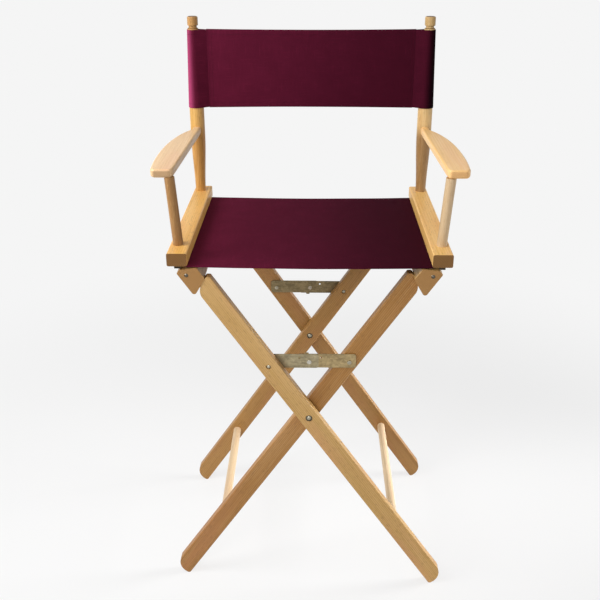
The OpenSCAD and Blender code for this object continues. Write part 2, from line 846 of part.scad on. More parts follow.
// The crossing bolts enter both crossings from the front
module both_crossings() {
    children();
    translate([0, rear_mid_y - front_mid_y, 0]) children();
}

module outer_front_leg() { color(wood) above_floor() outer_lean() leg(outer_y, 1, -1); }
module outer_rear_leg() { color(wood) above_floor() outer_lean() leg(outer_rear_y, -1, 1); }
module inner_front_leg() { color(wood) above_floor() inner_lean() leg(inner_y, 1, 1); }
module inner_rear_leg() { color(wood) above_floor() inner_lean() leg(inner_rear_y, -1, -1); }
module hinge_rail_left() { color(wood) outer_lean() hinge_rail(outer_y, outer_rear_y); }
module hinge_rail_right() { color(wood) inner_lean() hinge_rail(inner_y, inner_rear_y); }
module stretcher_right() { color(pale_wood) outer_lean() stretcher(outer_y, outer_rear_y); }
module stretcher_left() { color(pale_wood) inner_lean() stretcher(inner_y, inner_rear_y); }

module leg_screws(front_y, rear_y) {
    for (y = [front_y, rear_y]) at_leg_screw(y) wood_screw(leg_screw_len);
}

color(steel) both_crossings() pivot_bolt();  // pivot_bolts
color(steel) both_crossings() pivot_washers();
color(steel) both_crossings() pivot_spacer();  // pivot_spacers
color(steel) both_crossings() pivot_nut();  // pivot_nuts
outer_front_leg();
outer_rear_leg();
hinge_rail_left();
stretcher_right();
color(steel) outer_lean() leg_screws(outer_y, outer_rear_y);  // leg_screws_left
color(steel) both_braces() outer_brace_bolt();  // brace_bolts_left
color(steel) left() hinge_pins();  // hinge_pins_left
inner_front_leg();
inner_rear_leg();
hinge_rail_right();
stretcher_left();
color(steel) inner_lean() leg_screws(inner_y, inner_rear_y);  // leg_screws_right
color(steel) both_braces() inner_brace_bolt();  // brace_bolts_right
color(steel) hinge_pins();  // hinge_pins_right
color(wood) left() seat_rail();  // seat_rail_left
color(pale_wood) left() front_post();  // front_post_left
color(wood) left() rear_post();  // rear_post_left
color(wood) left() armrest();  // armrest_left
color(steel) left() front_and_rear() hinge_bracket();  // hinge_brackets_left
color(steel) left() front_and_rear() bracket_screws();  // bracket_screws_left
color(steel) left() at_arm_screw() wood_screw(arm_screw_len);  // arm_screw_left
color(pale_wood) left() seat_rod();  // seat_rod_left
color(wood) seat_rail();  // seat_rail_right
color(pale_wood) front_post();  // front_post_right
color(wood) rear_post();  // rear_post_right
color(wood) armrest();  // armrest_right
color(steel) front_and_rear() hinge_bracket();  // hinge_brackets_right
color(steel) front_and_rear() bracket_screws();  // bracket_screws_right
color(steel) at_arm_screw() wood_screw(arm_screw_len);  // arm_screw_right
color(pale_wood) seat_rod();  // seat_rod_right
color(canvas) seat_sling();
color(canvas) back_sling();
color(steel) front_brace_left();
color(steel) rivet_front();  // front_brace_rivet_front
color(steel) front_brace_right(true);
color(steel) rivet_back();  // front_brace_rivet_back
color(steel) rear_side() front_brace_left();  // rear_brace_left
color(steel) rear_side() rivet_front();  // rear_brace_rivet_back
color(steel) rear_side() front_brace_right(false);  // rear_brace_right
color(steel) rear_side() rivet_back();  // rear_brace_rivet_front
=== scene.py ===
import math

import bmesh
import bpy
from mathutils import Matrix, Vector, noise


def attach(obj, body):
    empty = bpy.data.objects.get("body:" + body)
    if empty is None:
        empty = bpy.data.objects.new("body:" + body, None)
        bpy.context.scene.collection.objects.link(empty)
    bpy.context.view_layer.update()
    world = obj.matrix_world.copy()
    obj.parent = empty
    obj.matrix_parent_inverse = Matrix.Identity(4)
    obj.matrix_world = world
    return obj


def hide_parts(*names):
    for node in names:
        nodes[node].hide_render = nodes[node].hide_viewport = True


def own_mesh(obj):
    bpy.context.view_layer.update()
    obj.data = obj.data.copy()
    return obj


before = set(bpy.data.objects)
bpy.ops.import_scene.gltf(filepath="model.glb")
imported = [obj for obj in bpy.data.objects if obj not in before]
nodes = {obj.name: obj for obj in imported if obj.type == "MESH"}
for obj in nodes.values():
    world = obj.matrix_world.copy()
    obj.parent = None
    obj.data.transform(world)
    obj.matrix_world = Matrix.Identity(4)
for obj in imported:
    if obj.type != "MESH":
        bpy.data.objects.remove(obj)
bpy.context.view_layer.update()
print("frame loaded:", len(nodes), "nodes")


# small helpers

def linear(hexColour):
    parts = [int(hexColour[i:i + 2], 16) / 255 for i in (1, 3, 5)]
    return tuple(c / 12.92 if c <= 0.04045 else ((c + 0.055) / 1.055) ** 2.4 for c in parts) + (1.0,)


def scaled(colour, factor):
    return tuple(min(1.0, c * factor) for c in colour[:3]) + (1.0,)


def addNode(tree, kind, values=None, links=None, **settings):
    node = tree.nodes.new(kind)
    for key, value in settings.items():
        setattr(node, key, value)
    for key, value in (values or {}).items():
        node.inputs[key].default_value = value
    for key, source in (links or {}).items():
        tree.links.new(source, node.inputs[key])
    return node


def newMaterial(name):
    material = bpy.data.materials.new(name)
    material.use_nodes = True
    material.node_tree.nodes.clear()
    return material, material.node_tree


def stretched(tree, vector, scale):  # pattern space squeezed or drawn out per axis
    return addNode(tree, "ShaderNodeVectorMath", {1: scale}, {0: vector}, operation="MULTIPLY").outputs[0]


def noiseOf(tree, vector, scale, detail, roughness=0.5):
    return addNode(tree, "ShaderNodeTexNoise", {"Scale": 1.0, "Detail": detail, "Roughness": roughness},
                   {"Vector": stretched(tree, vector, scale)}).outputs["Fac"]


def remap(tree, value, low, high, toLow=0.0, toHigh=1.0):
    return addNode(tree, "ShaderNodeMapRange",
                   {"From Min": low, "From Max": high, "To Min": toLow, "To Max": toHigh},
                   {"Value": value}, interpolation_type="SMOOTHSTEP").outputs["Result"]


def maths(tree, kind, *values):  # numbers or sockets
    node = addNode(tree, "ShaderNodeMath", operation=kind)
    for socket, value in zip(node.inputs, values):
        if isinstance(value, (int, float)):
            socket.default_value = value
        else:
            tree.links.new(value, socket)
    return node.outputs[0]


def blendColour(tree, factor, a, b, kind="MIX"):
    node = addNode(tree, "ShaderNodeMix", data_type="RGBA", blend_type=kind)
    for socket, value in ((node.inputs[0], factor), (node.inputs[6], a), (node.inputs[7], b)):
        if isinstance(value, tuple):
            socket.default_value = value
        else:
            tree.links.new(value, socket)
    return node.outputs[2]


def addShader(tree, colour, relief, values, links=None):  # relief: height, strength and distance
    height, strength, distance = relief
    bump = addNode(tree, "ShaderNodeBump", {"Strength": strength, "Distance": distance}, {"Height": height})
    shader = addNode(tree, "ShaderNodeBsdfPrincipled", values,
                     {"Base Color": colour, "Normal": bump.outputs[0], **(links or {})})
    addNode(tree, "ShaderNodeOutputMaterial", {}, {"Surface": shader.outputs[0]})


# camera, fitted to the photograph

cameraSet = {
    "place": (0.00521, -1.55211, 1.33252),
    "pitch": 22.561,  # degrees down
    "yaw": -0.955,
    "roll": -0.067,
    "focalPixels": 806.57,
    "pictureWidth": 600,
    "sensor": 36,
    "shiftY": -0.075,
}


def makeCamera(s):
    pitch, yaw, roll = (math.radians(s[k]) for k in ("pitch", "yaw", "roll"))
    ahead = Vector((math.sin(yaw) * math.cos(pitch), math.cos(yaw) * math.cos(pitch), -math.sin(pitch)))
    level = Vector((math.cos(yaw), -math.sin(yaw), 0))
    upright = level.cross(ahead)
    right = math.cos(roll) * level + math.sin(roll) * upright
    up = -math.sin(roll) * level + math.cos(roll) * upright
    data = bpy.data.cameras.new("camera")
    data.sensor_width = s["sensor"]
    data.lens = s["focalPixels"] * s["sensor"] / s["pictureWidth"]
    data.shift_y = s["shiftY"]
    camera = bpy.data.objects.new("camera", data)
    turn = Matrix((right, up, -ahead)).transposed().to_4x4()
    camera.matrix_world = Matrix.Translation(s["place"]) @ turn
    bpy.context.scene.collection.objects.link(camera)
    bpy.context.scene.camera = camera


makeCamera(cameraSet)
print("camera placed")


# wood: pale beech under clear satin lacquer, with fine fibres, short flecks and darker end grain

woodSet = {  # legs: golden brown where the lacquer lies thick
    "pale": "#CDA671",
    "middle": "#B99254",
    "deep": "#946A37",
    "blush": "#C18B60",  # pinkish streaks of the heartwood
    "endGrain": "#6B4A26",
    "pore": "#5E421F",
    "ringWidth": 0.0034,  # one year's growth
    "ringWander": 0.016,
    "wander": (11.0, 11.0, 1.7),  # pattern scales per metre, the last one along the grain
    "fibre": (460.0, 460.0, 8.0),
    "fleck": (560.0, 560.0, 85.0),  # short dark ray flecks, drawn twice their width so that they show
    "tone": (22.0, 22.0, 3.4),
    "flush": (30.0, 30.0, 5.0),
    "pores": 1900.0,
    "rings": 0.2,  # how much rings, fibres and tone darken the wood, from this start
    "fibres": 0.62,
    "tones": 0.7,
    "start": -0.32,
    "gloss": 0.4,
    "lacquer": 0.08,
    "bands": (),  # painted shade on a turned post below the armrest, and its top end darker: tint, from and to height
}
innerLegSet = dict(woodSet, pale="#B89261", middle="#A07138", deep="#7C5324", blush="#AB7348")
shadedSet = dict(woodSet, pale="#AF8550", middle="#9B713A", deep="#775526", blush="#9A673E")
hingeSet = dict(woodSet, endGrain="#9F7543")
# the rails' end grain very dark: partly the wood's own end grain, partly painted shade on the rails' front
# ends
railSet = dict(woodSet, pale="#EABE76", middle="#D8A555", deep="#B38140", blush="#DA9C5F",
               endGrain="#5D3B17", rings=0.14)
postSet = dict(woodSet, pale="#DDB577", middle="#CB9E56", deep="#A67B3F",
               bands=(("#EFDFCB", 0.93, 0.89), ("#DAD6CE", 1.118, 1.126)))
# the right post: stronger painted shade below the armrest, and paler above to make up for the weaker light
# on the right
darkPostSet = dict(postSet, pale="#E3C38F", middle="#D2AD72", deep="#AF8956",
                   bands=(("#BBADA2", 0.93, 0.89), ("#DAD6CE", 1.118, 1.126)))
pinkArmSet = dict(woodSet, pale="#E3C297", middle="#D3AE80", deep="#B48A5C", blush="#D8A585",
                  endGrain="#B0906B", rings=0.1)
# painted light: the right armrest's copy is paler, to make up for the weaker light on the right
armSet = dict(pinkArmSet, pale="#FBD497", middle="#F1C380", deep="#D09E5B", blush="#EDB585",
              endGrain="#D8A870")
dowelSet = dict(woodSet, pale="#DCC5A5", middle="#D0B690", deep="#B5966C", blush="#CDAB8E",
                endGrain="#B5905C", ringWidth=0.0028, rings=0.1)
frontDowelSet = dict(dowelSet, pale="#CEB592", middle="#C4A780", deep="#AB8A60", blush="#BF9D7D")
# painted shade: the left front post's copy darker, as it stands in shade
shadedDowelSet = dict(dowelSet, pale="#B48F5E", middle="#946B3D", deep="#6E4F28", blush="#9A7048")
waveTurn = 0.314  # the wave texture repeats every waveTurn / scale


def makeWood(name, s, turn, shift, along, toneAndPaintedLight):
    material, tree = newMaterial(name)
    coords = addNode(tree, "ShaderNodeTexCoord")
    grain = addNode(tree, "ShaderNodeMapping", {"Location": shift, "Rotation": turn},
                    {"Vector": coords.outputs["Object"]}).outputs[0]  # length of the piece along Z
    wander = addNode(tree, "ShaderNodeTexNoise", {"Scale": 1.0, "Detail": 2.0},
                     {"Vector": stretched(tree, grain, s["wander"])}).outputs["Color"]
    wander = addNode(tree, "ShaderNodeVectorMath", {1: (-0.5, -0.5, -0.5)}, {0: wander},
                     operation="ADD").outputs[0]
    wander = stretched(tree, wander, (s["ringWander"],) * 3)
    bent = addNode(tree, "ShaderNodeVectorMath", {}, {0: grain, 1: wander}, operation="ADD").outputs[0]
    rings = addNode(tree, "ShaderNodeTexWave", {"Scale": waveTurn / s["ringWidth"], "Distortion": 0.0},
                    {"Vector": bent}, wave_type="RINGS", rings_direction="Z").outputs["Fac"]
    rings = remap(tree, rings, 0.35, 1.0)
    fibre = noiseOf(tree, grain, s["fibre"], 4.0, 0.62)
    tone = noiseOf(tree, grain, s["tone"], 2.0)
    fleck = remap(tree, noiseOf(tree, grain, s["fleck"], 2.0), 0.57, 0.7)
    depth = maths(tree, "ADD", maths(tree, "MULTIPLY", rings, s["rings"]),
                  maths(tree, "MULTIPLY", fibre, s["fibres"]))
    depth = maths(tree, "ADD", depth, maths(tree, "MULTIPLY", tone, s["tones"]))
    depth = maths(tree, "ADD", depth, s["start"] + toneAndPaintedLight)
    ramp = addNode(tree, "ShaderNodeValToRGB", {}, {"Fac": depth})
    pale, deep = ramp.color_ramp.elements
    pale.position, pale.color = 0.12, linear(s["pale"])
    deep.position, deep.color = 0.92, linear(s["deep"])
    ramp.color_ramp.elements.new(0.5).color = linear(s["middle"])
    flush = remap(tree, noiseOf(tree, grain, s["flush"], 2.0), 0.45, 0.72)
    colour = blendColour(tree, maths(tree, "MULTIPLY", flush, 0.4), ramp.outputs["Color"],
                         linear(s["blush"]))
    colour = blendColour(tree, maths(tree, "MULTIPLY", fleck, 0.35), colour, linear(s["endGrain"]))
    facing = addNode(tree, "ShaderNodeVectorMath", {1: along}, {0: coords.outputs["Normal"]},
                     operation="DOT_PRODUCT").outputs["Value"]
    ends = remap(tree, maths(tree, "ABSOLUTE", facing), 0.75, 0.97)
    cells = addNode(tree, "ShaderNodeTexVoronoi", {"Scale": s["pores"]}, {"Vector": grain})
    pores = remap(tree, cells.outputs["Distance"], 0.1, 0.5, 0.7, 1.0)
    endColour = blendColour(tree, maths(tree, "MULTIPLY", rings, 0.35), linear(s["endGrain"]),
                            linear(s["deep"]))
    endColour = blendColour(tree, pores, linear(s["pore"]), endColour)
    colour = blendColour(tree, maths(tree, "MULTIPLY", ends, 0.95), colour, endColour)
    # painted shade: the posts darker below the armrests; their top ends darker too
    for tint, start, end in s["bands"]:
        height = addNode(tree, "ShaderNodeSeparateXYZ", {}, {0: coords.outputs["Object"]}).outputs[2]
        colour = blendColour(tree, remap(tree, height, start, end), colour, linear(tint), "MULTIPLY")
    rough = remap(tree, fibre, 0.25, 0.8, s["gloss"] - 0.05, s["gloss"] + 0.12)
    rough = maths(tree, "ADD", rough, maths(tree, "MULTIPLY", ends, 0.15))
    surface = maths(tree, "ADD", fibre, maths(tree, "MULTIPLY", fleck, -0.5))
    addShader(tree, colour, (surface, 0.22, 0.0002),
              {"IOR": 1.5, "Specular IOR Level": 0.3, "Coat Weight": s["lacquer"], "Coat Roughness": 0.22},
              {"Roughness": rough})
    return material


lean = math.radians(34)
quarter = math.radians(90)
outerLeg = ((0, lean, 0), (-math.sin(lean), 0, math.cos(lean)))
innerLeg = ((0, -lean, 0), (math.sin(lean), 0, math.cos(lean)))
lengthY = ((quarter, 0, 0), (0, 1, 0))
lengthZ = ((0, 0, 0), (0, 0, 1))
woodPieces = {  # node: finish, grain turn and direction, place in the log, tone shift; the right-hand pieces' paler shifts are painted light for the weaker light there
    "outer_front_leg": (woodSet, outerLeg, (0.07, 0.31, 0.1), 0.0),
    "outer_rear_leg": (shadedSet, outerLeg, (0.05, -0.09, 0.7), 0.05),
    "inner_front_leg": (innerLegSet, innerLeg, (-0.06, 0.29, 0.4), 0.04),
    "inner_rear_leg": (shadedSet, innerLeg, (0.08, -0.06, 1.3), 0.02),
    "hinge_rail_left": (hingeSet, lengthY, (0.3, 0.65, 0.2), 0.05),
    "hinge_rail_right": (hingeSet, lengthY, (-0.16, 0.66, 0.9), 0.0),
    "seat_rail_left": (railSet, lengthY, (0.31, 0.71, 0.5), 0.0),
    # painted light: the right rail paler, for the weaker light on the right
    "seat_rail_right": (railSet, lengthY, (-0.18, 0.7, 0.15), -0.13),
    "rear_post_left": (postSet, lengthZ, (0.29, -0.12, 0.3), 0.06),
    "rear_post_right": (darkPostSet, lengthZ, (-0.2, -0.13, 0.8), -0.04),
    "armrest_left": (pinkArmSet, lengthY, (0.33, 0.84, 1.1), 0.0),
    "armrest_right": (armSet, lengthY, (-0.2, 0.83, 0.6), 0.06),
    "front_post_left": (shadedDowelSet, lengthZ, (0.27, 0.2, 0.2), 0.05),
    "front_post_right": (frontDowelSet, lengthZ, (-0.22, 0.19, 0.5), 0.05),
    "stretcher_left": (dowelSet, lengthY, (0.2, 0.12, 0.3), 0.06),
    "stretcher_right": (dowelSet, lengthY, (-0.24, 0.11, 0.6), 0.0),
    "seat_rod_left": (dowelSet, lengthY, (0.26, 0.72, 0.1), 0.05),
    "seat_rod_right": (dowelSet, lengthY, (-0.2, 0.71, 0.4), 0.05),
}


def camel(node):
    first, *rest = node.split("_")
    return first + "".join(word.capitalize() for word in rest)


def finishNode(node, material):
    for slot in nodes[node].material_slots:
        slot.material = material


for node, (finish, (turn, along), shift, toneAndPaintedLight) in woodPieces.items():
    finishNode(node, makeWood("lacqueredBeech_" + camel(node), finish, turn, shift, along, toneAndPaintedLight))
print("wood finished")


# metal: zinc-plated steel, dulled and scratched on the links, brighter on the rivets and bolts

steelSet = {  # colour, roughness, scratches per metre along each axis, their relief
    "frontLink": ("#BBAD8B", 0.42, (40.0, 900.0, 900.0), 0.35),
    "backLink": ("#C4AD80", 0.45, (40.0, 900.0, 900.0), 0.35),
    "rearLink": ("#9A8A68", 0.5, (40.0, 900.0, 900.0), 0.35),
    # painted shade: the brackets dark, as they sit in shade under the rails
    "bracket": ("#453F37", 0.5, (500.0, 500.0, 500.0), 0.2),
    "bolt": ("#C2BBA6", 0.3, (500.0, 500.0, 500.0), 0.2),
    # painted shade: washers and spacers dark, for the shaded ring round each bolt head
    "washer": ("#6A6353", 0.45, (500.0, 500.0, 500.0), 0.2),
    "screw": ("#7E7666", 0.4, (700.0, 700.0, 700.0), 0.25),
    "rivet": ("#DDD8CA", 0.22, (400.0, 400.0, 400.0), 0.15),
    "pin": ("#6E675C", 0.12, (400.0, 400.0, 400.0), 0.1),
}


def makeSteel(name, colourHex, gloss, scratch, relief):
    material, tree = newMaterial(name)
    coords = addNode(tree, "ShaderNodeTexCoord").outputs["Object"]
    spangle = addNode(tree, "ShaderNodeTexVoronoi", {"Scale": 260.0}, {"Vector": coords}).outputs["Color"]
    flake = addNode(tree, "ShaderNodeSeparateColor", {}, {"Color": spangle}).outputs[0]
    lines = noiseOf(tree, coords, scratch, 3.0, 0.6)
    dull = noiseOf(tree, coords, (60.0, 60.0, 60.0), 3.0)
    shade = maths(tree, "ADD", maths(tree, "MULTIPLY", flake, 0.1), maths(tree, "MULTIPLY", lines, 0.4))
    shade = maths(tree, "ADD", shade, maths(tree, "MULTIPLY", dull, 0.35))
    base = linear(colourHex)
    colour = blendColour(tree, remap(tree, shade, 0.25, 0.62), scaled(base, 0.45), base)
    rough = remap(tree, shade, 0.1, 0.75, gloss + 0.14, gloss - 0.06)
    addShader(tree, colour, (lines, relief, 0.0001), {"Metallic": 1.0}, {"Roughness": rough})
    return material


steels = {kind: makeSteel("zincSteel_" + kind, *values) for kind, values in steelSet.items()}
steelPieces = (  # part of the node's name: steel; the first match counts
    ("screw", "screw"), ("rivet", "rivet"), ("bracket", "bracket"), ("hinge_pins", "pin"),
    ("washers", "washer"), ("spacers", "washer"), ("pivot", "bolt"), ("brace_bolts", "bolt"),
    ("rear_brace", "rearLink"), ("brace_left", "frontLink"), ("brace_right", "backLink"))
for node in nodes:
    kind = next((kind for part, kind in steelPieces if part in node), None)
    if kind:
        finishNode(node, steels[kind])
print("steel finished")


# canvas: heavy maroon cotton duck, matt, with a plain weave and thicker yarns here and there, and painted
# shade and highlight on top

canvasSet = {
    "yarn": "#5B172E",
    "gap": "#3A0B1B",
    "slub": "#6F1F3A",
    "fuzz": "#B8446E",
    "thread": "#37091A",
    "pitch": 0.0009,  # from one yarn to the next
    "dyeX": 0.24,  # painted shade: the colour falls off from the left end's level to the right end's between these x
    "edgeY": (0.19, 0.174),  # the painted highlight and painted shade on the pockets' outer edges fade in from the rear to the front
}


def makeCanvas(name, s, paintedFalloff, sheen, edge=None):  # painted shade falling off to the right: the colour's level at the left and the right end
    material, tree = newMaterial(name)
    uv = addNode(tree, "ShaderNodeUVMap", uv_map="clothMetres").outputs[0]
    count = addNode(tree, "ShaderNodeSeparateXYZ", {},
                    {0: stretched(tree, uv, (1 / s["pitch"], 1 / s["pitch"], 0))})
    across, up = count.outputs[0], count.outputs[1]

    def ridge(value, turns):  # yarn profile from -1 to 1
        return maths(tree, "COSINE", maths(tree, "MULTIPLY", value, turns * math.pi))

    over = maths(tree, "MULTIPLY", ridge(across, 1), ridge(up, 1))
    over = maths(tree, "MULTIPLY_ADD", over, 0.5, 0.5)
    warp = maths(tree, "MULTIPLY_ADD", ridge(across, 2), 0.5, 0.5)
    weft = maths(tree, "MULTIPLY_ADD", ridge(up, 2), 0.5, 0.5)
    cloth = addNode(tree, "ShaderNodeMix", {}, {0: over, 2: weft, 3: warp}, data_type="FLOAT").outputs[0]
    slubs = maths(tree, "MAXIMUM", noiseOf(tree, uv, (1100.0, 26.0, 1.0), 2.0),
                  noiseOf(tree, uv, (26.0, 1100.0, 1.0), 2.0))
    thick = maths(tree, "MULTIPLY", remap(tree, slubs, 0.56, 0.8), 0.6)
    cloudy = noiseOf(tree, uv, (22.0, 22.0, 1.0), 3.0)
    cloudy = maths(tree, "MULTIPLY", remap(tree, cloudy, 0.35, 0.75), 0.1)
    colour = blendColour(tree, remap(tree, cloth, 0.0, 0.75), linear(s["gap"]), linear(s["yarn"]))
    colour = blendColour(tree, thick, colour, linear(s["slub"]))
    colour = blendColour(tree, cloudy, colour, linear(s["slub"]))
    place = addNode(tree, "ShaderNodeTexCoord").outputs["Object"]
    place = addNode(tree, "ShaderNodeSeparateXYZ", {}, {0: place}).outputs
    # painted shade: the cloth lighter on the left and darker on the right, where less light falls
    share = remap(tree, place[0], -s["dyeX"], s["dyeX"], *paintedFalloff)
    colour = addNode(tree, "ShaderNodeVectorMath", {}, {0: colour, 3: share}, operation="SCALE").outputs[0]
    if edge:  # painted highlight and painted shade on an outer edge: where it begins and is full, and its colour
        begin, full, paintedEdgeColour = edge
        band = maths(tree, "MULTIPLY", remap(tree, place[0], begin, full),
                     remap(tree, place[1], *s["edgeY"]))
        colour = blendColour(tree, band, colour, linear(paintedEdgeColour))
    height = maths(tree, "ADD", cloth, maths(tree, "MULTIPLY", slubs, 0.6))
    addShader(tree, colour, (height, 0.5, 0.0003),
              {"Roughness": 0.9, "Sheen Weight": sheen, "Sheen Roughness": 0.4,
               "Sheen Tint": linear(s["fuzz"]), "Specular IOR Level": 0.03})
    return material


def makeThread(name, hexColour):
    material, tree = newMaterial(name)
    coords = addNode(tree, "ShaderNodeTexCoord").outputs["Object"]
    ply = noiseOf(tree, coords, (2600.0, 2600.0, 2600.0), 1.0)
    base = linear(hexColour)
    colour = blendColour(tree, remap(tree, ply, 0.35, 0.65), base, scaled(base, 1.25))
    addShader(tree, colour, (ply, 0.4, 0.0001), {"Roughness": 0.8, "Specular IOR Level": 0.1})
    return material


backCanvas = makeCanvas("maroonCottonDuckBack", canvasSet, (1.07, 0.57), 0.06)
# painted highlight: the left pocket's outer edge lighter pink, as where light from the left falls, with a
# strong sheen
highlightCanvas = makeCanvas("maroonCottonDuckRubbed", canvasSet, (1.05, 0.8), 0.55,
                        (-0.244, -0.262, "#A5426A"))
# painted shade: the right pocket's outer edge near black, turned away from the light, with no sheen
shadeCanvas = makeCanvas("maroonCottonDuckDeep", canvasSet, (1.0, 0.58), 0.0, (0.236, 0.258, "#0E0206"))
# painted shade: the seat's copy is darker overall and falls off more to the right, offsetting the light on
# its upward face
seatCanvas = makeCanvas("maroonCottonDuckSeat", canvasSet, (1.14, 0.33), 0.03)
thread = makeThread("maroonSewingThread", canvasSet["thread"])


# cloth and stitches in general

clothSharp, stitchSharp = 50, 80  # degrees between faces from which an edge stays hard


def evenly(low, high, count):
    return [low + (high - low) * i / count for i in range(count + 1)]


def pathLengths(path):
    total, lengths = 0.0, [0.0]
    for a, b in zip(path, path[1:]):
        total += math.dist(a, b)
        lengths.append(total)
    return lengths


def onCircle(radius, degrees):
    return radius * math.cos(math.radians(degrees)), radius * math.sin(math.radians(degrees))


def gridObject(name, rows, material):  # rows of (point, u, v); u and v in metres along the cloth
    mesh = bpy.data.meshes.new(name)
    width = len(rows[0])
    points = [p for row in rows for p, u, v in row]
    faces = [(j * width + i, j * width + i + 1, (j + 1) * width + i + 1, (j + 1) * width + i)
             for j in range(len(rows) - 1) for i in range(width - 1)]
    mesh.from_pydata(points, [], faces)
    layer = mesh.uv_layers.new(name="clothMetres")
    flat = [(u, v) for row in rows for p, u, v in row]
    for loop in mesh.loops:
        layer.data[loop.index].uv = flat[loop.vertex_index]
    mesh.materials.append(material)
    obj = bpy.data.objects.new(name, mesh)
    bpy.context.scene.collection.objects.link(obj)
    return obj


def settle(obj, sharp):  # modifiers become plain mesh, faces outwards
    depsgraph = bpy.context.evaluated_depsgraph_get()
    mesh = bpy.data.meshes.new_from_object(obj.evaluated_get(depsgraph))
    obj.modifiers.clear()
    obj.data = mesh
    shape = bmesh.new()
    shape.from_mesh(mesh)
    bmesh.ops.recalc_face_normals(shape, faces=shape.faces)
    shape.to_mesh(mesh)
    shape.free()
    mesh.shade_smooth()
    mesh.set_sharp_from_angle(angle=math.radians(sharp))
    return obj


def thicken(obj, thickness):
    wall = obj.modifiers.new("cloth", "SOLIDIFY")
    wall.thickness, wall.offset, wall.use_even_offset = thickness, 0.0, True
    return settle(obj, clothSharp)


def ripple(x, y, seed, size):  # slow unevenness of stretched cloth
    return size * noise.noise(Vector((x * 9 + seed, y * 9 - seed, seed * 0.7)))


def dimple(edge, s):  # the cloth drawn in along a row of stitches, edge metres from the hem's fold
    return s["dimple"] * math.exp(-((edge - s["stitchIn"]) / s["dimpleWidth"]) ** 2)


def hemPath(low, high, s):  # side view of a sheet hemmed at both ends: along, off the face
    bends, straights = 5, 26
    gap = s["hemGap"]
    loop = gap / 2
    fold = [(loop * math.sin(math.pi * i / bends), loop * math.cos(math.pi * i / bends))
            for i in range(1, bends)]
    path = [(low + s["hem"], -gap), (low + loop, -gap)]
    path += [(low + loop - out, -loop - off) for out, off in fold]
    path += [(along, 0.0) for along in evenly(low + loop, high - loop, straights)]
    path += [(high - loop + out, -loop + off) for out, off in fold]
    return path + [(high - loop, -gap), (high - s["hem"], -gap)]


stitchSet = {  # from one stitch to the next, its length and the thread's thickness
    "Pitch": 0.0034,
    "Length": 0.0027,
    "Thread": 0.0006,
}


def makeStitchTree(s):  # short thread capsules along a path
    tree = bpy.data.node_groups.new("stitchRow", "GeometryNodeTree")
    face = tree.interface
    face.new_socket("Geometry", in_out="INPUT", socket_type="NodeSocketGeometry")
    for name, value in s.items():
        face.new_socket(name, in_out="INPUT", socket_type="NodeSocketFloat").default_value = value
    face.new_socket("Material", in_out="INPUT", socket_type="NodeSocketMaterial")
    face.new_socket("Geometry", in_out="OUTPUT", socket_type="NodeSocketGeometry")
    given = addNode(tree, "NodeGroupInput").outputs
    curve = addNode(tree, "GeometryNodeMeshToCurve", {}, {0: given["Geometry"]}).outputs[0]
    spaced = addNode(tree, "GeometryNodeResampleCurve", {}, {"Curve": curve, "Length": given["Pitch"]},
                     mode="LENGTH").outputs[0]
    tangent = addNode(tree, "GeometryNodeInputTangent").outputs[0]
    turn = addNode(tree, "FunctionNodeAlignRotationToVector", {}, {"Vector": tangent}, axis="X").outputs[0]
    bead = addNode(tree, "GeometryNodeMeshUVSphere", {"Segments": 6, "Rings": 5, "Radius": 0.5}).outputs[0]
    size = addNode(tree, "ShaderNodeCombineXYZ", {},
                   {0: given["Length"], 1: given["Thread"], 2: given["Thread"]}).outputs[0]
    placed = addNode(tree, "GeometryNodeInstanceOnPoints", {},
                     {"Points": spaced, "Instance": bead, "Rotation": turn, "Scale": size}).outputs[0]
    real = addNode(tree, "GeometryNodeRealizeInstances", {}, {0: placed}).outputs[0]
    coloured = addNode(tree, "GeometryNodeSetMaterial", {},
                       {"Geometry": real, "Material": given["Material"]}).outputs[0]
    addNode(tree, "NodeGroupOutput", {}, {0: coloured})
    return tree


stitchTree = makeStitchTree(stitchSet)


def stitchRows(name, paths):
    mesh = bpy.data.meshes.new(name)
    points, edges = [], []
    for path in paths:
        start = len(points)
        points += [tuple(p) for p in path]
        edges += [(start + i, start + i + 1) for i in range(len(path) - 1)]
    mesh.from_pydata(points, edges, [])
    obj = bpy.data.objects.new(name, mesh)
    bpy.context.scene.collection.objects.link(obj)
    modifier = obj.modifiers.new("stitches", "NODES")
    modifier.node_group = stitchTree
    sockets = {item.name: item.identifier for item in stitchTree.interface.items_tree
               if item.in_out == "INPUT"}
    for key, value in dict(stitchSet, Material=thread).items():
        modifier[sockets[key]] = value
    return settle(obj, stitchSharp)


# back canvas: a panel between the posts and a pocket sewn round each post

backSet = {
    "seamX": 0.218,
    "bottom": 0.960,
    "top": 1.123,
    "postX": 0.246,
    "postY": 0.174,
    "postThick": 0.0155,  # radius at the lower end
    "postTaper": 0.0045,
    "taperZ": (0.953, 1.118),
    "thickness": 0.0011,
    "face": 0.0006,  # middle of the panel in front of the posts' axes
    "back": 0.0019,  # and of the seam allowance behind them
    "hem": 0.011,
    "hemGap": 0.0014,
    "stitchIn": 0.0095,
    "seamRows": (0.0025, 0.0095),  # from the panel's side
    "seamRowIn": 0.003,  # where the rows begin and end
    "hemRowIn": 0.012,
    "dimple": 0.0003,
    "dimpleWidth": 0.0022,
    "ripple": 0.0009,
    "drawn": 0.0006,  # how far the pull draws the middle in
    "pull": 0.0016,  # and the edges towards each other
    "crease": 0.0005,
    "tail": 0.013,  # seam allowance behind the panel
    "ease": 0.0009,  # middle of the cloth, clear of the post
    "pocketRound": 0.116,  # flat width of a pocket
    "pocketIn": 0.0006,  # from the panel's edges
    "travel": 0.36334,  # how far the arm frames close up
}


def postRadius(z, s):
    low, high = s["taperZ"]
    return s["postThick"] - s["postTaper"] * min(1.0, max(0.0, (z - low) / (high - low)))


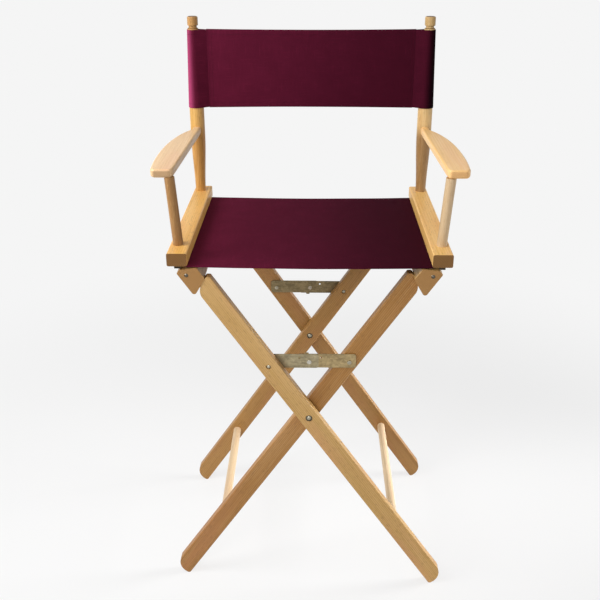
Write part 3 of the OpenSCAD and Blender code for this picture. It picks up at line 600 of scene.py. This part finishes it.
def panelFace(x, z, s):  # slightly drawn in by the pull, softly uneven
    across = x / s["seamX"]
    uneven = ripple(x, z, 3.1, s["ripple"]) * (1 - across ** 2)
    return s["postY"] - s["face"] + uneven - s["drawn"] * (1 - across ** 4)


def panelPull(x, z, s):
    middle = (s["bottom"] + s["top"]) / 2
    return s["pull"] * (1 - (x / s["seamX"]) ** 2) * (middle - z) / (middle - s["bottom"])


def makeBackPanel(s):
    path = hemPath(s["bottom"], s["top"], s)
    rows = []
    for (z, depth), v in zip(path, pathLengths(path)):
        row = []
        for x in evenly(-s["seamX"], s["seamX"], 88):
            y = panelFace(x, z, s) - depth
            if depth == 0:
                y += dimple(min(z - s["bottom"], s["top"] - z), s)
            row.append(((x, y, z + panelPull(x, z, s)), x, v))
        rows.append(row)
    return thicken(gridObject("backPanel", rows, backCanvas), s["thickness"])


flatSteps = 5  # from the seam to the post, and back


def pocketOutline(radius, s):  # from the seam round the post and back, for the right-hand post
    reach = s["postX"] - s["seamX"]
    angle = math.degrees(math.acos(radius / math.hypot(reach, s["face"])))
    bow = [onCircle(radius, a) for a in evenly(180 + angle, 540 - angle, 30)]

    def straight(a, b, count):
        return list(zip(evenly(a[0], b[0], count), evenly(a[1], b[1], count)))

    points = straight((-reach, -s["face"]), bow[0], flatSteps)[:-1] + bow
    points += straight(bow[-1], (-reach, s["back"]), flatSteps)[1:]
    return points + straight((-reach, s["back"]), (-reach - s["tail"], s["back"]), 2)[1:]


def makePocket(name, side, s, cloth):
    rows = []
    for z in evenly(s["bottom"] + s["pocketIn"], s["top"] - s["pocketIn"], 22):
        outline = pocketOutline(postRadius(z, s) + s["ease"], s)
        crease = s["crease"] * noise.noise(Vector((0, z * 30, side * 4.0)))
        row = []
        for i, ((x, y), along) in enumerate(zip(outline, pathLengths(outline))):
            if 0 < i <= flatSteps:
                y += crease
            row.append(((side * (s["postX"] + x), s["postY"] + y, z), along, z))
        rows.append(row)
    return thicken(gridObject(name, rows, cloth), s["thickness"])


backPanel = makeBackPanel(backSet)
backPocketLeft = makePocket("backPocketLeft", -1, backSet, highlightCanvas)
backPocketRight = makePocket("backPocketRight", 1, backSet, shadeCanvas)


def hemHeights(s):
    return s["bottom"] + s["stitchIn"], s["top"] - s["stitchIn"]


def backHemRows(s):
    end = s["seamX"] - s["hemRowIn"]
    return [[(x, panelFace(x, z, s) - s["thickness"] / 2, z + panelPull(x, z, s))
             for x in evenly(-end, end, 60)] for z in hemHeights(s)]


def seamRows(side, s):  # the two rows that hold a pocket on the panel
    rows = []
    for inset in s["seamRows"]:
        x = side * (s["seamX"] - inset)
        rows.append([(x, panelFace(x, z, s) - s["thickness"] / 2, z)
                     for z in evenly(s["bottom"] + s["seamRowIn"], s["top"] - s["seamRowIn"], 20)])
    return rows


def pocketHemRows(side, s):
    rows = []
    for z in hemHeights(s):
        outline = pocketOutline(postRadius(z, s) + s["ease"] + s["thickness"] / 2, s)
        rows.append([(side * (s["postX"] + x), s["postY"] + y, z) for x, y in outline[1:-flatSteps - 1]])
    return rows


backHemStitches = stitchRows("backHemStitches", backHemRows(backSet))
backSeams = stitchRows("backSeamStitches", seamRows(-1, backSet) + seamRows(1, backSet))
pocketHemLeft = stitchRows("pocketHemStitchesLeft", pocketHemRows(-1, backSet))
pocketHemRight = stitchRows("pocketHemStitchesRight", pocketHemRows(1, backSet))
print("back canvas made")


# seat canvas: a hemmed sheet whose sides go up into the rails round a wooden rod

seatSet = {
    "halfWidth": 0.2295,
    "front": -0.1992,
    "rear": 0.1995,
    "level": 0.7471,  # middle of the cloth at the rails
    "sag": 0.003,
    "ripple": 0.0009,
    "grooveX": 0.2315,
    "grooveZ": 0.757,
    "bend": 0.002,  # from the slot down into the sheet
    "loop": 0.0048,  # radius round the rod
    "neck": 0.0012,  # from the rod down into the slot
    "thickness": 0.0011,
    "hem": 0.012,
    "hemGap": 0.0014,
    "stitchIn": 0.0095,
    "dimple": 0.0004,
    "dimpleWidth": 0.0022,
    "sink": 0.0002,  # stitches pulled into the cloth
    "hemRowIn": 0.002,
    "hemRound": 0.036,  # flat width of a side hem
    "hemIn": 0.0004,  # from the panel's edges
}


def seatHeight(x, y, s):
    across = x / s["halfWidth"]
    uneven = ripple(x, y, 8.3, s["ripple"]) * (1 - across ** 4)
    return s["level"] - s["sag"] * (1 - across ** 2) + uneven


def makeSeatPanel(s):
    path = hemPath(s["front"], s["rear"], s)
    rows = []
    for (y, depth), v in zip(path, pathLengths(path)):
        row = []
        for x in evenly(-s["halfWidth"], s["halfWidth"], 84):
            z = seatHeight(x, y, s) + depth
            if depth == 0:
                z -= dimple(min(y - s["front"], s["rear"] - y), s)
            row.append(((x, y, z), x, v))
        rows.append(row)
    return thicken(gridObject("seatPanel", rows, seatCanvas), s["thickness"])


def makeSeatHem(name, side, s):
    bend, low = s["bend"], s["level"] - s["grooveZ"]
    outline = [(s["halfWidth"] - s["grooveX"], low)]
    for angle in (20, 40, 60, 80, 90):
        up, out = onCircle(bend, angle)
        outline.append((out - bend, low + bend - up))
    outline.append((0.0, -s["loop"] - s["neck"]))
    for angle in range(8, 352, 16):
        up, out = onCircle(s["loop"], angle)
        outline.append((out, -up))
    lengths = pathLengths(outline)
    rows = [[((side * (s["grooveX"] + x), y, s["grooveZ"] + z), along, y)
             for (x, z), along in zip(outline, lengths)]
            for y in evenly(s["front"] + s["hemIn"], s["rear"] - s["hemIn"], 30)]
    return thicken(gridObject(name, rows, seatCanvas), s["thickness"])


def seatHemRows(s):
    end = s["halfWidth"] - s["hemRowIn"]
    return [[(x, y, seatHeight(x, y, s) + s["thickness"] / 2 - s["sink"]) for x in evenly(-end, end, 70)]
            for y in (s["front"] + s["stitchIn"], s["rear"] - s["stitchIn"])]


seatPanel = makeSeatPanel(seatSet)
seatHemLeft = makeSeatHem("seatHemLeft", -1, seatSet)
seatHemRight = makeSeatHem("seatHemRight", 1, seatSet)
seatHemStitches = stitchRows("seatHemStitches", seatHemRows(seatSet))
print("seat canvas made")


# what each new piece moves with

riders = {
    "left_arm_frame": (backPanel, backHemStitches, backSeams, backPocketLeft, pocketHemLeft,
                       seatPanel, seatHemStitches, seatHemLeft),
    "right_arm_frame": (backPocketRight, pocketHemRight, seatHemRight),
}
for body, pieces in riders.items():
    for piece in pieces:
        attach(piece, body)
shortened = (((backPanel, backHemStitches, backSeams), backSet["seamX"]),
             ((seatPanel, seatHemStitches), seatSet["halfWidth"]))
for pieces, half in shortened:  # each sheet gets a mesh of its own
    for piece in pieces:
        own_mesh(piece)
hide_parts("back_sling")
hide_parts("seat_sling")

print("canvas pieces ride on the arm frames")


# floor and light

stageSet = {
    "floor": "#ECECEC",
    "seen": "#F5F5F5",
    "shadow": 0.25,  # how much of the lit floor the camera sees by the feet
    "near": 0.55,  # and how far out that share fades to none, in metres
    "far": 1.7,
    "halfWidth": 12.0,
    "fillLeft": 0.66,
    "fillRight": 0.32,
}


def seenDirectly(tree):
    path = addNode(tree, "ShaderNodeLightPath").outputs
    seen = maths(tree, "MAXIMUM", path["Is Camera Ray"], path["Is Glossy Ray"])
    return maths(tree, "MAXIMUM", seen, path["Is Transmission Ray"])


def makeFloor(s):
    material, tree = newMaterial("paleFloor")
    place = addNode(tree, "ShaderNodeTexCoord").outputs["Object"]
    distance = addNode(tree, "ShaderNodeVectorMath", {}, {0: place}, operation="LENGTH").outputs["Value"]
    lit = addNode(tree, "ShaderNodeBsdfDiffuse", {"Color": linear(s["floor"])}).outputs[0]
    plain = addNode(tree, "ShaderNodeEmission", {"Color": linear(s["seen"]), "Strength": 1.0}).outputs[0]
    amount = remap(tree, distance, s["near"], s["far"], 1 - s["shadow"], 1.0)
    amount = maths(tree, "MULTIPLY", seenDirectly(tree), amount)
    mixed = addNode(tree, "ShaderNodeMixShader", {}, {0: amount, 1: lit, 2: plain}).outputs[0]
    addNode(tree, "ShaderNodeOutputMaterial", {}, {"Surface": mixed})
    half = s["halfWidth"]
    mesh = bpy.data.meshes.new("floor")
    mesh.from_pydata([(-half, -half, 0), (half, -half, 0), (half, half, 0), (-half, half, 0)], [],
                     [(0, 1, 2, 3)])
    mesh.materials.append(material)
    floor = bpy.data.objects.new("floor", mesh)
    bpy.context.scene.collection.objects.link(floor)


def makeWorld(s):  # a soft room, lighter towards its left side
    world = bpy.data.worlds.new("studio")
    bpy.context.scene.world = world
    world.use_nodes = True
    tree = world.node_tree
    tree.nodes.clear()
    towards = addNode(tree, "ShaderNodeTexCoord").outputs["Generated"]
    side = addNode(tree, "ShaderNodeSeparateXYZ", {}, {0: towards}).outputs[0]
    strength = remap(tree, side, -1.0, 1.0, s["fillLeft"], s["fillRight"])
    fill = addNode(tree, "ShaderNodeBackground", {"Color": linear("#FFFFFF")},
                   {"Strength": strength}).outputs[0]
    plain = addNode(tree, "ShaderNodeBackground", {"Color": linear(s["seen"]), "Strength": 1.0}).outputs[0]
    mixed = addNode(tree, "ShaderNodeMixShader", {}, {0: seenDirectly(tree), 1: fill, 2: plain}).outputs[0]
    addNode(tree, "ShaderNodeOutputWorld", {}, {"Surface": mixed})


lampSet = {  # place, target, size, watts, spread in degrees
    "sideSoftbox": ((-1.25, -0.45, 1.65), (0, 0, 0.85), (0.7, 0.9), 20, 180),
    "rimSoftbox": ((1.35, 0.2, 0.6), (0, 0, 0.15), (0.5, 0.8), 3, 50),
    "frontSoftbox": ((-0.8, -2.6, 2.2), (0, 0, 0.7), (1.6, 1.6), 32, 180),
}


def addLamp(name, place, target, size, power, spread):
    data = bpy.data.lights.new(name, "AREA")
    data.shape, data.size, data.size_y = "RECTANGLE", size[0], size[1]
    data.energy = power
    data.spread = math.radians(spread)
    lamp = bpy.data.objects.new(name, data)
    lamp.location = place
    lamp.rotation_euler = (Vector(target) - Vector(place)).to_track_quat("-Z", "Y").to_euler()
    lamp.visible_camera = False
    bpy.context.scene.collection.objects.link(lamp)


makeFloor(stageSet)
makeWorld(stageSet)
for name, values in lampSet.items():
    addLamp(name, *values)
bpy.context.scene.view_settings.view_transform = "Standard"
print("floor and light ready")
